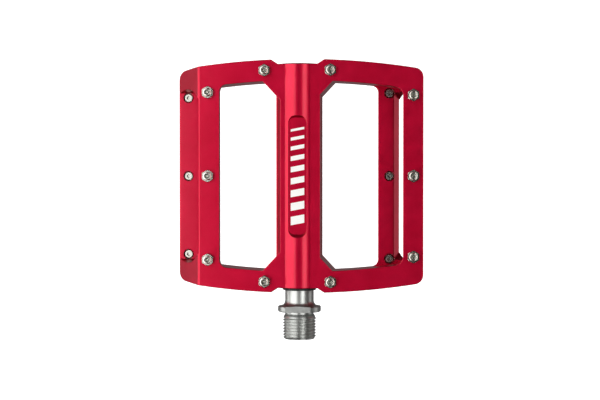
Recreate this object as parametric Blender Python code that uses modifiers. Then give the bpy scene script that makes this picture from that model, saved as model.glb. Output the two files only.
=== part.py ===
"""Flat bicycle pedal: a machined platform that spins on a threaded spindle.

Frame: +Z is the normal of the platform, Y runs along the spindle with the
threaded end toward -Y, and X is across the platform. The origin is the centre
of the spindle's threaded end face. Sizes are in millimetres and are turned
into metres by MM.
"""
import math

import bmesh
import bpy
from mathutils import Matrix, Vector

MM = 0.001
GAP = 0.3                    # left between pieces that touch or screw together
SLIM_GAP = 0.15              # left between pieces that are pressed together
RUNNING_GAP = 0.12           # left between pieces that turn against each other
OVERCUT = 1.0                # how far a cutter stands clear of the face it cuts

# platform, seen in plan
CENTRE_Y = 70.5              # middle of the platform along the spindle
HALF_LENGTH = 53.6           # half the plan length, at the wide plate
SHORT_END = 43.0             # where the other plate ends
HALF_THICK = 8.4
CROWN = 50.1                 # half the width at the middle, before the notch
EDGE_RADIUS = 310.0          # curve of the two long edges
CORNER_RADIUS = 4.0
END_LAND = 3.0               # upright strip on each acute end edge
BROW_RADIUS = 1.5            # rounding on each obtuse end edge
NOTCH_HALF = 8.5             # flat beside the tube's end face
NOTCH_HEIGHT = 48.0
NOTCH_TOP = 11.4             # where the arm reaches its full width

# tube that holds the bearings
TUBE_RADIUS = 10.0
TUBE_HALF = 48.2
BADGE_HALF_WIDTH = 3.9       # shallow pocket along the tube
BADGE_HALF_LENGTH = 25.0
BADGE_FLOOR = 8.7
BADGE_CORNER = 2.6

# windows between the tube and the rails
ARM_WIDTH = 9.2
TIGHT_STEP = 0.4             # the tight side of a window is this much smaller
RAIL_THICK = 3.3
WIDE_NEAR, WIDE_FAR = 9.7, 45.0      # the side that leaves the far rail
TIGHT_NEAR, TIGHT_FAR = 7.5, 33.8    # the side that leaves the near rail
WIDE_CORNER, TIGHT_CORNER = 4.0, 3.2
GUSSET_X = 15.0              # where the gusset beside the tube begins
GUSSET_SLOPE = 1.07

# slot through each end wall
SLOT_HALF = 37.7
SLOT_END_RADIUS = 10.0
RAIL_CHAMFER_IN, RAIL_CHAMFER_OUT = 40.6, 42.9
SLOT_CUT_HALF = 45.0         # half the length of the slot's cutter

# traction pins
PIN_PLACES = {
    "rear_outboard": (-38.7, 35.9),
    "rear_middle": (-38.7, 0.0),
    "rear_inboard": (-38.7, -35.9),
    "front_outboard": (49.5, 34.3),
    "front_middle": (49.5, 0.0),
    "front_inboard": (49.5, -34.3),
    "arm_rear_outboard": (-14.2, 45.2),
    "arm_front_outboard": (14.2, 45.2),
    "arm_rear_inboard": (-14.2, -45.2),
    "arm_front_inboard": (14.2, -45.2),
}
PIN_HEIGHT = 4.0
PIN_SHANK_RADIUS = 1.95
PIN_SHANK_DEPTH = 3.0
PIN_HEX_RADIUS = 2.75
PIN_HEX_HEIGHT = 1.7
PIN_TIP_RADIUS = 1.7
PIN_HOLE_DEPTH = 3.8
PIN_KEY_RADIUS = 0.9         # socket for a small hex key in the lower end
PIN_KEY_DEPTH = 1.2
PIN_DIMPLE_RADIUS, PIN_DIMPLE_DEPTH = 1.0, 0.7
PIN_TIP_CHAMFER = 0.35
PIN_FOOT_CHAMFER = 0.2
PIN_SHOULDER = 0.4           # cone between the hex base and the tip, above the hex

# spindle, along Y from the threaded end
THREAD_RADIUS = 7.14         # 9/16 inch, 20 threads an inch
THREAD_PITCH = 1.27
THREAD_DEPTH = 0.65
THREAD_START, THREAD_END = 0.6, 8.6
THREAD_CREST = (0.4, 0.6)    # where a crest begins and ends, in turns
THREAD_LEAD_IN, THREAD_CHAMFER = 0.5, 0.4
NECK_RADIUS = 6.1
NECK_START = 10.1
COLLAR_START, COLLAR_END = 11.8, 14.3
COLLAR_RADIUS = 9.3
COLLAR_FLAT = 7.5            # half the spanner size
COLLAR_CHAMFER = 0.4
COLLAR_SHOULDER, COLLAR_ROUND = 0.7, 0.2
FLARE_END = 16.4
FLARE_RISE, FLARE_RUN = 0.9, 1.1
SHAFT_RADIUS = 6.2
SHAFT_END = 24.6
JOURNAL_RADIUS = 6.0
JOURNAL_STEP = 0.2           # run of the step from the shaft to the journal
JOURNAL_END = 38.5
WAIST_RADIUS = 4.5
WAIST_START = 52.0
SEAT_RADIUS = 3.0
SEAT_START = 98.3
SEAT_CHAMFER = 0.6
SPINDLE_END = 112.0

# seal and bush at the crank side
SEAL_START, SEAL_END = 21.2, 24.2
SEAL_RADIUS = 7.25
SEAL_CHAMFER, SEAL_CHAMFER_RUN = 0.4, 0.5
BUSH_START, BUSH_LENGTH = 24.9, 12.0
BUSH_RADIUS = 7.0
BUSH_BORE = 6.12

# cartridge bearing 6 x 13 x 5 at the outboard end
BEARING_START, BEARING_WIDTH = 98.5, 5.0
BEARING_RADIUS = 6.5
OUTER_LAND, INNER_LAND = 5.5, 4.0
PITCH_RADIUS = 4.75
BALL_RADIUS = 1.19
BALL_COUNT = 7
RACE_CLEARANCE = 0.1
SHIELD_THICK = 0.25
SHIELD_INSET = 0.2
SHIELD_BORE = 4.25
SHIELD_FIT = 0.1             # between a shield and the outer ring
CAGE_RADII = (4.45, 5.05)
CAGE_BACK, CAGE_FRONT = -1.8, 0.7    # from the middle of the bearing

# lock nut, washer and cap
WASHER_RADIUS, WASHER_THICK = 4.6, 0.9
NUT_RADIUS, NUT_LENGTH = 5.6, 5.0
CAP_START, CAP_END = 114.3, 118.4
CAP_RADIUS = 7.5
CAP_CHAMFER = 0.4
CAP_KEY_RADIUS, CAP_KEY_DEPTH = 3.46, 2.2
O_RING_MAJOR, O_RING_MINOR = 6.95, 0.55
O_RING_Y = 116.4
GROOVE_SIDE, GROOVE_UNDER = 0.2, 0.15    # room beside and under the O-ring

# stepped bore of the tube
BORE_CLEAR, BORE_CLEAR_END = 6.6, 92.0
BORE_SHOULDER = 5.4

# how finely round shapes are divided
ROUND_STEPS = 32
TUBE_STEPS = 48
PIN_STEPS = 12
PIN_HOLE_STEPS = 16
SMALL_STEPS = 24
CAGE_STEPS = 28
O_RING_STEPS = 8
BALL_COLUMNS, BALL_ROWS = 12, 8
ARC_STEPS = 4
PLAN_CORNER_STEPS, PLAN_EDGE_STEPS = 5, 6
SLOT_END_STEPS = 7

SEAL_BORE_RADIUS = SEAL_RADIUS + SLIM_GAP
BUSH_BORE_RADIUS = BUSH_RADIUS + SLIM_GAP
BEARING_BORE_RADIUS = BEARING_RADIUS + SLIM_GAP
CAP_BORE_RADIUS = CAP_RADIUS + SLIM_GAP
BEARING_MID = BEARING_START + BEARING_WIDTH / 2
WASHER_START = BEARING_START + BEARING_WIDTH + GAP
NUT_START = WASHER_START + WASHER_THICK + GAP


def clear_scene():
    for old in list(bpy.data.objects):
        bpy.data.objects.remove(old, do_unlink=True)


def new_collection(name):
    group = bpy.data.collections.new(name)
    bpy.context.scene.collection.children.link(group)
    return group


def material(name, colour, metallic, roughness):
    made = bpy.data.materials.new(name)
    made.use_nodes = True
    shader = made.node_tree.nodes["Principled BSDF"]
    shader.inputs["Base Color"].default_value = (*colour, 1.0)
    shader.inputs["Metallic"].default_value = metallic
    shader.inputs["Roughness"].default_value = roughness
    made.diffuse_color = (*colour, 1.0)
    return made


def add_object(name, mesh, finish, group):
    made = bpy.data.objects.new(name, mesh)
    group.objects.link(made)
    if finish is not None:
        mesh.materials.clear()
        mesh.materials.append(finish)
    return made


def make_cutter(name, mesh, group):
    made = add_object(name, mesh, None, group)
    made.hide_render = True
    made.display_type = "WIRE"
    return made


def smooth(mesh, degrees=35.0):
    mesh.shade_smooth()
    mesh.set_sharp_from_angle(angle=math.radians(degrees))


def baked_mesh(source):
    """The mesh of an object with its modifiers applied."""
    bpy.context.view_layer.update()
    graph = bpy.context.evaluated_depsgraph_get()
    return bpy.data.meshes.new_from_object(source.evaluated_get(graph))


def boolean(target, other, operation):
    cut = target.modifiers.new(operation.lower(), "BOOLEAN")
    cut.operation = operation
    cut.solver = "EXACT"
    cut.object = other


def boolean_group(target, group, operation):
    cut = target.modifiers.new(operation.lower(), "BOOLEAN")
    cut.operation = operation
    cut.solver = "EXACT"
    cut.operand_type = "COLLECTION"
    cut.collection = group


# ---- shapes ----------------------------------------------------------------

PLAN = Matrix.Identity(4)                                   # outline in XY
SECTION = Matrix(((1, 0, 0, 0), (0, 0, 1, 0), (0, 1, 0, 0), (0, 0, 0, 1)))
SIDE = Matrix(((0, 0, 1, 0), (1, 0, 0, 0), (0, 1, 0, 0), (0, 0, 0, 1)))


def prism(name, outline, low, high, view):
    """A flat outline in mm, pushed from low to high along the view's normal."""
    curve = bpy.data.curves.new(name, "CURVE")
    curve.dimensions = "2D"
    curve.fill_mode = "BOTH"
    curve.extrude = (high - low) / 2 * MM
    spline = curve.splines.new("POLY")
    spline.points.add(len(outline) - 1)
    for point, (u, v) in zip(spline.points, outline):
        point.co = (u * MM, v * MM, 0.0, 1.0)
    spline.use_cyclic_u = True
    flat = bpy.data.objects.new(name, curve)
    bpy.context.scene.collection.objects.link(flat)
    mesh = baked_mesh(flat)
    bpy.data.objects.remove(flat, do_unlink=True)
    place = view @ Matrix.Translation((0, 0, (low + high) / 2 * MM))
    solid = bmesh.new()
    solid.from_mesh(mesh)
    bmesh.ops.remove_doubles(solid, verts=solid.verts, dist=1e-6)
    bmesh.ops.dissolve_limit(solid, angle_limit=1e-4, verts=solid.verts, edges=solid.edges)
    bmesh.ops.transform(solid, matrix=place, verts=solid.verts)
    bmesh.ops.recalc_face_normals(solid, faces=solid.faces)
    solid.to_mesh(mesh)
    solid.free()
    mesh.name = name
    return mesh


def turned(name, profile, steps, closed=False):
    """A profile of (radius, y) in mm, listed from high y to low y on its
    outer side, turned about the Y axis."""
    mesh = bpy.data.meshes.new(name)
    edges = [(i, i + 1) for i in range(len(profile) - 1)]
    if closed:
        edges.append((len(profile) - 1, 0))
    mesh.from_pydata([(r * MM, 0.0, y * MM) for r, y in profile], edges, [])
    blank = bpy.data.objects.new(name, mesh)
    bpy.context.scene.collection.objects.link(blank)
    screw = blank.modifiers.new("turn", "SCREW")
    screw.axis = "Z"
    screw.steps = steps
    screw.render_steps = steps
    screw.use_merge_vertices = True
    screw.merge_threshold = 1e-6
    solid = baked_mesh(blank)
    bpy.data.objects.remove(blank, do_unlink=True)
    solid.transform(Matrix.Rotation(math.radians(-90.0), 4, "X"))
    solid.name = name
    smooth(solid)
    return solid


def ring(name, inner, outer, start, end, steps=ROUND_STEPS):
    return turned(name, [(outer, end), (outer, start), (inner, start), (inner, end)],
                  steps, closed=True)


def cylinder_mesh(name, radius, low, high, sides):
    """A prism with a regular base, standing along Z, in mm."""
    solid = bmesh.new()
    bmesh.ops.create_cone(solid, cap_ends=True, segments=sides, radius1=radius * MM,
                          radius2=radius * MM, depth=(high - low) * MM)
    bmesh.ops.translate(solid, verts=solid.verts, vec=(0, 0, (low + high) / 2 * MM))
    mesh = bpy.data.meshes.new(name)
    solid.to_mesh(mesh)
    solid.free()
    return mesh


def box_mesh(name, low, high):
    solid = bmesh.new()
    bmesh.ops.create_cube(solid, size=1.0)
    size = [(b - a) * MM for a, b in zip(low, high)]
    middle = [(a + b) / 2 * MM for a, b in zip(low, high)]
    bmesh.ops.scale(solid, verts=solid.verts, vec=size)
    bmesh.ops.translate(solid, verts=solid.verts, vec=middle)
    mesh = bpy.data.meshes.new(name)
    solid.to_mesh(mesh)
    solid.free()
    return mesh


def arc(centre, radius, start, end, steps):
    """Points on an arc, angles in degrees."""
    points = []
    for i in range(steps + 1):
        angle = math.radians(start + (end - start) * i / steps)
        points.append((centre[0] + radius * math.cos(angle),
                       centre[1] + radius * math.sin(angle)))
    return points


def half_turn(points):
    return [(-u, -v) for u, v in points]


# ---- platform ---------------------------------------------------------------

EDGE_CENTRE = CROWN - EDGE_RADIUS       # centre of the long edges' curve


def edge_height(x, inset=0.0):
    """Height of the curved long edge, or of a line inside it, at x."""
    return EDGE_CENTRE + math.sqrt((EDGE_RADIUS - inset) ** 2 - x * x)


def rounded_corner(x_limit, radius, inset, steps):
    """The arc between an upright at x_limit and the curved long edge."""
    reach = EDGE_RADIUS - inset - radius
    centre = (x_limit - radius, EDGE_CENTRE + math.sqrt(reach ** 2 - (x_limit - radius) ** 2))
    tangent = math.degrees(math.atan2(centre[1] - EDGE_CENTRE, centre[0]))
    return arc(centre, radius, 0.0, tangent, steps)


def edge_points(x_from, x_to, inset, steps):
    """Points along the curved edge between two places, ends left out."""
    return [(x, edge_height(x, inset))
            for x in (x_from + (x_to - x_from) * i / steps for i in range(1, steps))]


def mirror_quadrant(points):
    """A closed outline from the points of its first quadrant."""
    upper = points + [(-x, y) for x, y in reversed(points) if x > 0]
    return upper + [(x, -y) for x, y in reversed(upper)]


def plan_outline():
    corner = rounded_corner(HALF_LENGTH, CORNER_RADIUS, 0.0, PLAN_CORNER_STEPS)
    quadrant = corner + edge_points(corner[-1][0], NOTCH_TOP, 0.0, PLAN_EDGE_STEPS)
    quadrant += [(NOTCH_TOP, edge_height(NOTCH_TOP)), (NOTCH_HALF, NOTCH_HEIGHT)]
    return mirror_quadrant(quadrant)


def end_section():
    """Section across the platform, with one end leaning over at each side."""
    slope = Vector((SHORT_END - HALF_LENGTH, -2 * HALF_THICK + END_LAND)).normalized()
    turn = math.acos(-slope.x)
    trim = BROW_RADIUS * math.tan(turn / 2)
    centre = (-SHORT_END + trim, HALF_THICK - BROW_RADIUS)
    brow = arc(centre, BROW_RADIUS, 90.0, 90.0 + math.degrees(turn), ARC_STEPS)
    land = [(-HALF_LENGTH, -HALF_THICK + END_LAND), (-HALF_LENGTH, -HALF_THICK)]
    return brow + land + half_turn(brow) + half_turn(land)


def window_outline(near, far, corner_radius, inset):
    """One window in plan, at +X."""
    corner = rounded_corner(far, corner_radius, inset, ARC_STEPS)
    gusset = edge_height(GUSSET_X, inset)
    upper = corner + edge_points(corner[-1][0], GUSSET_X, inset, ARC_STEPS)
    upper += [(GUSSET_X, gusset), (near, gusset - (GUSSET_X - near) * GUSSET_SLOPE)]
    return upper + [(x, -y) for x, y in reversed(upper)]


def badge_outline():
    corner = arc((BADGE_HALF_WIDTH - BADGE_CORNER, BADGE_HALF_LENGTH - BADGE_CORNER),
                 BADGE_CORNER, 0.0, 90.0, ARC_STEPS)
    return mirror_quadrant(corner)


def slot_outline():
    """Slot through an end wall, seen along X: (y, z) with curved ends."""
    low, high = -HALF_THICK - OVERCUT, HALF_THICK - RAIL_THICK
    middle = SLOT_HALF - SLOT_END_RADIUS
    start = math.degrees(math.asin(low / SLOT_END_RADIUS))
    end = math.degrees(math.asin(high / SLOT_END_RADIUS))
    right = arc((middle, 0.0), SLOT_END_RADIUS, start, end, SLOT_END_STEPS)
    return right + [(-y, z) for y, z in reversed(right)]


def slot_section():
    """The same slot, seen along the spindle: (x, z), at the +X end."""
    floor, roof = -HALF_THICK + RAIL_THICK, HALF_THICK - RAIL_THICK
    run = (RAIL_CHAMFER_OUT - RAIL_CHAMFER_IN) / RAIL_THICK     # chamfer width for each mm of height
    foot = RAIL_CHAMFER_OUT + run * 1.5 * OVERCUT
    below = -HALF_THICK - 1.5 * OVERCUT
    beyond = HALF_LENGTH + 6 * OVERCUT
    return [(foot, below), (beyond, below), (beyond, roof), (WIDE_FAR - 2 * OVERCUT, roof),
            (RAIL_CHAMFER_IN - run * OVERCUT, floor + OVERCUT)]


def shifted(outline):
    """Move a plan outline from the platform's middle to its place along Y."""
    return [(x, y + CENTRE_Y) for x, y in outline]


def bore_profile():
    """Stepped bore of the tube, from the outboard face to the crank side."""
    face_in = CENTRE_Y - TUBE_HALF
    face_out = CENTRE_Y + TUBE_HALF
    seal_seat = SEAL_END + GAP
    bush_seat = BUSH_START + BUSH_LENGTH + GAP
    bearing_seat = BEARING_START - GAP
    cap_seat = CAP_START - GAP
    return [(0.0, face_out + OVERCUT), (CAP_BORE_RADIUS, face_out + OVERCUT),
            (CAP_BORE_RADIUS, cap_seat), (BEARING_BORE_RADIUS, cap_seat),
            (BEARING_BORE_RADIUS, bearing_seat), (BORE_SHOULDER, bearing_seat),
            (BORE_SHOULDER, BORE_CLEAR_END), (BORE_CLEAR, BORE_CLEAR_END),
            (BORE_CLEAR, bush_seat), (BUSH_BORE_RADIUS, bush_seat),
            (BUSH_BORE_RADIUS, seal_seat), (SEAL_BORE_RADIUS, seal_seat),
            (SEAL_BORE_RADIUS, face_in - OVERCUT), (0.0, face_in - OVERCUT)]


def turned_over(mesh, name):
    """The same shape turned half a turn about the spindle axis."""
    copy = mesh.copy()
    copy.name = name
    copy.transform(Matrix.Rotation(math.pi, 4, "Y"))
    return copy


def window_cutters(group):
    """Each window is wide on one side and tight on the other."""
    floor = -HALF_THICK + RAIL_THICK
    wide_outline = window_outline(WIDE_NEAR, WIDE_FAR, WIDE_CORNER, ARM_WIDTH)
    tight_outline = window_outline(TIGHT_NEAR, TIGHT_FAR, TIGHT_CORNER, ARM_WIDTH + TIGHT_STEP)
    wide = prism("window_wide", shifted(wide_outline), floor, HALF_THICK + OVERCUT, PLAN)
    tight = prism("window_tight", shifted(tight_outline), -HALF_THICK - OVERCUT,
                  floor + OVERCUT, PLAN)
    for mesh in (wide, tight):
        make_cutter(mesh.name + "_front", mesh, group)
        make_cutter(mesh.name + "_rear", turned_over(mesh, mesh.name + "_back"), group)


def slot_cutters(group):
    length = prism("slot_length", [(y + CENTRE_Y, z) for y, z in slot_outline()],
                   RAIL_CHAMFER_IN - 2 * OVERCUT, HALF_LENGTH + 4 * OVERCUT, SIDE)
    across = prism("slot_across", slot_section(), CENTRE_Y - SLOT_CUT_HALF,
                   CENTRE_Y + SLOT_CUT_HALF, SECTION)
    front = make_cutter("end_slot_blank", length, group)
    other = make_cutter("end_slot_section", across, group)
    boolean(front, other, "INTERSECT")
    mesh = baked_mesh(front)
    bpy.data.objects.remove(front, do_unlink=True)
    bpy.data.objects.remove(other, do_unlink=True)
    make_cutter("end_slot_front", mesh, group)
    make_cutter("end_slot_rear", turned_over(mesh, "end_slot_back"), group)


def pin_frame(place, upper):
    """Where a pin sits: its own +Z points out of the plate."""
    x, y = place
    frame = Matrix.Translation((x * MM, (y + CENTRE_Y) * MM, HALF_THICK * MM))
    if upper:
        return frame
    return Matrix.Rotation(math.pi, 4, "Y") @ frame


def pin_hole_cutters(group):
    mesh = cylinder_mesh("pin_hole", PIN_SHANK_RADIUS + GAP, -PIN_HOLE_DEPTH, OVERCUT,
                         PIN_HOLE_STEPS)
    for name, place in PIN_PLACES.items():
        for upper in (True, False):
            hole = make_cutter(f"pin_hole_{name}_{upper}", mesh, group)
            hole.matrix_world = pin_frame(place, upper)


def badge_cutters(group):
    mesh = prism("badge", shifted(badge_outline()), BADGE_FLOOR, TUBE_RADIUS + 2 * OVERCUT, PLAN)
    make_cutter("badge_upper", mesh, group)
    make_cutter("badge_lower", turned_over(mesh, "badge_under"), group)


def platform_body(finish, parts, cutters):
    blank = prism("platform_blank", shifted(plan_outline()), -HALF_THICK - OVERCUT,
                  HALF_THICK + OVERCUT, PLAN)
    ends = prism("platform_ends", end_section(), CENTRE_Y - CROWN - OVERCUT,
                 CENTRE_Y + CROWN + OVERCUT, SECTION)
    body = add_object("platform_body", blank, finish, parts)
    boolean(body, make_cutter("end_shape", ends, cutters), "INTERSECT")
    openings = new_collection("window_and_slot_cutters")
    window_cutters(openings)
    slot_cutters(openings)
    boolean_group(body, openings, "DIFFERENCE")
    tube = turned("tube_blank", [(0.0, CENTRE_Y + TUBE_HALF), (TUBE_RADIUS, CENTRE_Y + TUBE_HALF),
                                 (TUBE_RADIUS, CENTRE_Y - TUBE_HALF),
                                 (0.0, CENTRE_Y - TUBE_HALF)], TUBE_STEPS)
    boolean(body, make_cutter("tube", tube, cutters), "UNION")
    holes = new_collection("bore_and_hole_cutters")
    make_cutter("bore", turned("bore_shape", bore_profile(), ROUND_STEPS), holes)
    badge_cutters(holes)
    pin_hole_cutters(holes)
    boolean_group(body, holes, "DIFFERENCE")
    return body


# ---- pins ----------------------------------------------------------------------

def pin_mesh(cutters):
    """One traction pin: threaded shank, hex base and a round tip with a dimple."""
    tip, foot = PIN_HEIGHT, -PIN_SHANK_DEPTH
    shoulder = PIN_HEX_HEIGHT + PIN_SHOULDER
    profile = [(0.0, tip - PIN_DIMPLE_DEPTH), (PIN_DIMPLE_RADIUS, tip),
               (PIN_TIP_RADIUS - PIN_TIP_CHAMFER, tip),
               (PIN_TIP_RADIUS, tip - PIN_TIP_CHAMFER), (PIN_TIP_RADIUS, shoulder),
               (PIN_SHANK_RADIUS, PIN_HEX_HEIGHT - PIN_SHOULDER / 2),
               (PIN_SHANK_RADIUS, foot + PIN_FOOT_CHAMFER),
               (PIN_SHANK_RADIUS - PIN_FOOT_CHAMFER, foot), (0.0, foot)]
    stem = turned("pin_stem", profile, PIN_STEPS)
    stem.transform(Matrix.Rotation(math.radians(90.0), 4, "X"))
    pin = make_cutter("pin_blank", stem, cutters)
    nut = make_cutter("pin_hex", cylinder_mesh("pin_hex", PIN_HEX_RADIUS, SLIM_GAP,
                                               PIN_HEX_HEIGHT, 6), cutters)
    key = make_cutter("pin_key", cylinder_mesh("pin_key", PIN_KEY_RADIUS, foot - OVERCUT,
                                               foot + PIN_KEY_DEPTH, 6), cutters)
    boolean(pin, nut, "UNION")
    boolean(pin, key, "DIFFERENCE")
    mesh = baked_mesh(pin)
    for used in (pin, nut, key):
        bpy.data.objects.remove(used, do_unlink=True)
    mesh.name = "traction_pin"
    smooth(mesh)
    return mesh


def pins(finish, parts, cutters):
    mesh = pin_mesh(cutters)
    made = []
    for side, upper in (("upper", True), ("lower", False)):
        for name, place in PIN_PLACES.items():
            pin = add_object(f"{side}_pin_{name}", mesh, finish, parts)
            pin.matrix_world = pin_frame(place, upper)
            made.append(pin)
    return made


# ---- spindle and what is on it ---------------------------------------------------

def thread_profile():
    """Crests and roots of the thread as rings, from high y down to low y."""
    points = []
    turns = int((THREAD_END - THREAD_START) / THREAD_PITCH)
    for i in range(turns):
        top = THREAD_END - i * THREAD_PITCH
        points.append((THREAD_RADIUS - THREAD_DEPTH, top))
        points += [(THREAD_RADIUS, top - part * THREAD_PITCH) for part in THREAD_CREST]
    return points


def spindle(finish, parts, cutters):
    root = THREAD_RADIUS - THREAD_DEPTH
    profile = [(0.0, SPINDLE_END), (SEAT_RADIUS - SEAT_CHAMFER, SPINDLE_END),
               (SEAT_RADIUS, SPINDLE_END - SEAT_CHAMFER), (SEAT_RADIUS, SEAT_START),
               (WAIST_RADIUS, SEAT_START), (WAIST_RADIUS, WAIST_START),
               (JOURNAL_RADIUS, JOURNAL_END), (JOURNAL_RADIUS, SHAFT_END + JOURNAL_STEP),
               (SHAFT_RADIUS, SHAFT_END), (SHAFT_RADIUS, FLARE_END),
               (SHAFT_RADIUS + FLARE_RISE, FLARE_END - FLARE_RUN),
               (COLLAR_RADIUS - COLLAR_SHOULDER, COLLAR_END + COLLAR_ROUND),
               (COLLAR_RADIUS, COLLAR_END - COLLAR_ROUND),
               (COLLAR_RADIUS, COLLAR_START + COLLAR_CHAMFER),
               (COLLAR_RADIUS - COLLAR_CHAMFER, COLLAR_START),
               (NECK_RADIUS, COLLAR_START), (NECK_RADIUS, NECK_START)]
    profile += thread_profile()
    profile += [(root, THREAD_LEAD_IN), (root - THREAD_CHAMFER, 0.0), (0.0, 0.0)]
    shaft = add_object("spindle", turned("spindle", profile, ROUND_STEPS), finish, parts)
    reach = COLLAR_RADIUS + 2 * OVERCUT
    for side, name in ((1, "upper"), (-1, "lower")):
        near, far = sorted((side * COLLAR_FLAT, side * reach))
        flat = box_mesh("spanner_flat", (-reach, COLLAR_START - OVERCUT, near),
                        (reach, FLARE_END + OVERCUT, far))
        boolean(shaft, make_cutter(f"spanner_flat_{name}", flat, cutters), "DIFFERENCE")
    return shaft


def seal(finish, parts):
    bore = SHAFT_RADIUS + RUNNING_GAP
    profile = [(SEAL_RADIUS, SEAL_END), (SEAL_RADIUS, SEAL_START + SEAL_CHAMFER_RUN),
               (SEAL_RADIUS - SEAL_CHAMFER, SEAL_START), (bore, SEAL_START), (bore, SEAL_END)]
    return add_object("shaft_seal", turned("shaft_seal", profile, ROUND_STEPS, closed=True),
                      finish, parts)


def bush(finish, parts):
    end = BUSH_START + BUSH_LENGTH
    return add_object("plain_bush", ring("plain_bush", BUSH_BORE, BUSH_RADIUS, BUSH_START, end),
                      finish, parts)


def race_groove(land, outward):
    """Points of a ball groove cut into a ring's land, from high y to low y."""
    radius = BALL_RADIUS + RACE_CLEARANCE
    half_angle = math.degrees(math.acos(abs(land - PITCH_RADIUS) / radius))
    if outward:
        return arc((PITCH_RADIUS, BEARING_MID), radius, half_angle, -half_angle, ARC_STEPS)
    return arc((PITCH_RADIUS, BEARING_MID), radius, 180.0 - half_angle, 180.0 + half_angle,
               ARC_STEPS)


def bearing_rings(finish, parts):
    start, end = BEARING_START, BEARING_START + BEARING_WIDTH
    outer = [(BEARING_RADIUS, end), (BEARING_RADIUS, start), (OUTER_LAND, start)]
    outer += list(reversed(race_groove(OUTER_LAND, True))) + [(OUTER_LAND, end)]
    bore = SEAT_RADIUS + RUNNING_GAP
    inner = [(INNER_LAND, end)] + race_groove(INNER_LAND, False)
    inner += [(INNER_LAND, start), (bore, start), (bore, end)]
    rings = {"bearing_outer_ring": outer, "bearing_inner_ring": inner}
    return {name: add_object(name, turned(name, profile, ROUND_STEPS, closed=True), finish, parts)
            for name, profile in rings.items()}


def bearing_shields(finish, parts):
    outer = OUTER_LAND - SHIELD_FIT
    inset = BEARING_WIDTH / 2 - SHIELD_INSET - SHIELD_THICK
    made = []
    for name, start in (("inner", BEARING_MID - inset - SHIELD_THICK),
                        ("outer", BEARING_MID + inset)):
        mesh = ring("bearing_shield", SHIELD_BORE, outer, start, start + SHIELD_THICK)
        made.append(add_object(f"bearing_shield_{name}", mesh, finish, parts))
    return made


def ball_place(index):
    angle = 2 * math.pi * index / BALL_COUNT
    return Vector((PITCH_RADIUS * math.cos(angle), BEARING_MID, PITCH_RADIUS * math.sin(angle))) * MM


def sphere_mesh(name, radius):
    solid = bmesh.new()
    bmesh.ops.create_uvsphere(solid, u_segments=BALL_COLUMNS, v_segments=BALL_ROWS,
                              radius=radius * MM)
    mesh = bpy.data.meshes.new(name)
    solid.to_mesh(mesh)
    solid.free()
    return mesh


def bearing_balls(finish, parts):
    mesh = sphere_mesh("bearing_ball", BALL_RADIUS)
    smooth(mesh, 60.0)
    made = []
    for index in range(BALL_COUNT):
        ball = add_object(f"bearing_ball_{index + 1}", mesh, finish, parts)
        ball.location = ball_place(index)
        made.append(ball)
    return made


def bearing_cage(finish, parts):
    """A crown that spaces the balls, open toward the outboard side."""
    mesh = ring("bearing_cage", *CAGE_RADII, BEARING_MID + CAGE_BACK, BEARING_MID + CAGE_FRONT,
                steps=CAGE_STEPS)
    cage = add_object("bearing_cage", mesh, finish, parts)
    pockets = new_collection("cage_pocket_cutters")
    pocket = sphere_mesh("cage_pocket", BALL_RADIUS + RUNNING_GAP)
    for index in range(BALL_COUNT):
        cutter = make_cutter(f"cage_pocket_{index + 1}", pocket, pockets)
        cutter.location = ball_place(index)
    boolean_group(cage, pockets, "DIFFERENCE")
    return cage


def washer(finish, parts):
    mesh = ring("washer", SEAT_RADIUS + GAP, WASHER_RADIUS, WASHER_START,
                WASHER_START + WASHER_THICK, steps=SMALL_STEPS)
    return add_object("thrust_washer", mesh, finish, parts)


def lock_nut(finish, parts, cutters):
    mesh = cylinder_mesh("lock_nut", NUT_RADIUS, NUT_START, NUT_START + NUT_LENGTH, 6)
    mesh.transform(Matrix.Rotation(math.radians(-90.0), 4, "X"))
    nut = add_object("lock_nut", mesh, finish, parts)
    hole = cylinder_mesh("nut_hole", SEAT_RADIUS + GAP, NUT_START - OVERCUT,
                         NUT_START + NUT_LENGTH + OVERCUT, SMALL_STEPS)
    hole.transform(Matrix.Rotation(math.radians(-90.0), 4, "X"))
    boolean(nut, make_cutter("nut_hole", hole, cutters), "DIFFERENCE")
    return nut


def end_cap(finish, parts, cutters):
    """Screw-in cap with a groove for its O-ring and a hex socket."""
    groove = O_RING_MINOR + GROOVE_SIDE
    floor = O_RING_MAJOR - O_RING_MINOR - GROOVE_UNDER
    profile = [(0.0, CAP_END), (CAP_RADIUS - CAP_CHAMFER, CAP_END),
               (CAP_RADIUS, CAP_END - CAP_CHAMFER),
               (CAP_RADIUS, O_RING_Y + groove), (floor, O_RING_Y + groove),
               (floor, O_RING_Y - groove), (CAP_RADIUS, O_RING_Y - groove),
               (CAP_RADIUS, CAP_START), (0.0, CAP_START)]
    cap = add_object("end_cap", turned("end_cap", profile, ROUND_STEPS), finish, parts)
    key = cylinder_mesh("cap_key", CAP_KEY_RADIUS, CAP_END - CAP_KEY_DEPTH,
                        CAP_END + OVERCUT, 6)
    key.transform(Matrix.Rotation(math.radians(-90.0), 4, "X"))
    boolean(cap, make_cutter("cap_key", key, cutters), "DIFFERENCE")
    return cap


def o_ring(finish, parts):
    circle = arc((O_RING_MAJOR, O_RING_Y), O_RING_MINOR, 90.0, -270.0, O_RING_STEPS)[:-1]
    return add_object("cap_o_ring", turned("cap_o_ring", circle, SMALL_STEPS, closed=True),
                      finish, parts)


# ---- assembly --------------------------------------------------------------------

def empty(name, y):
    made = bpy.data.objects.new(name, None)
    bpy.context.scene.collection.objects.link(made)
    made.location = (0.0, y * MM, 0.0)
    return made


def parent_keep(children, parent):
    bpy.context.view_layer.update()
    for child in children:
        world = child.matrix_world.copy()
        child.parent = parent
        child.matrix_world = world


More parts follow.
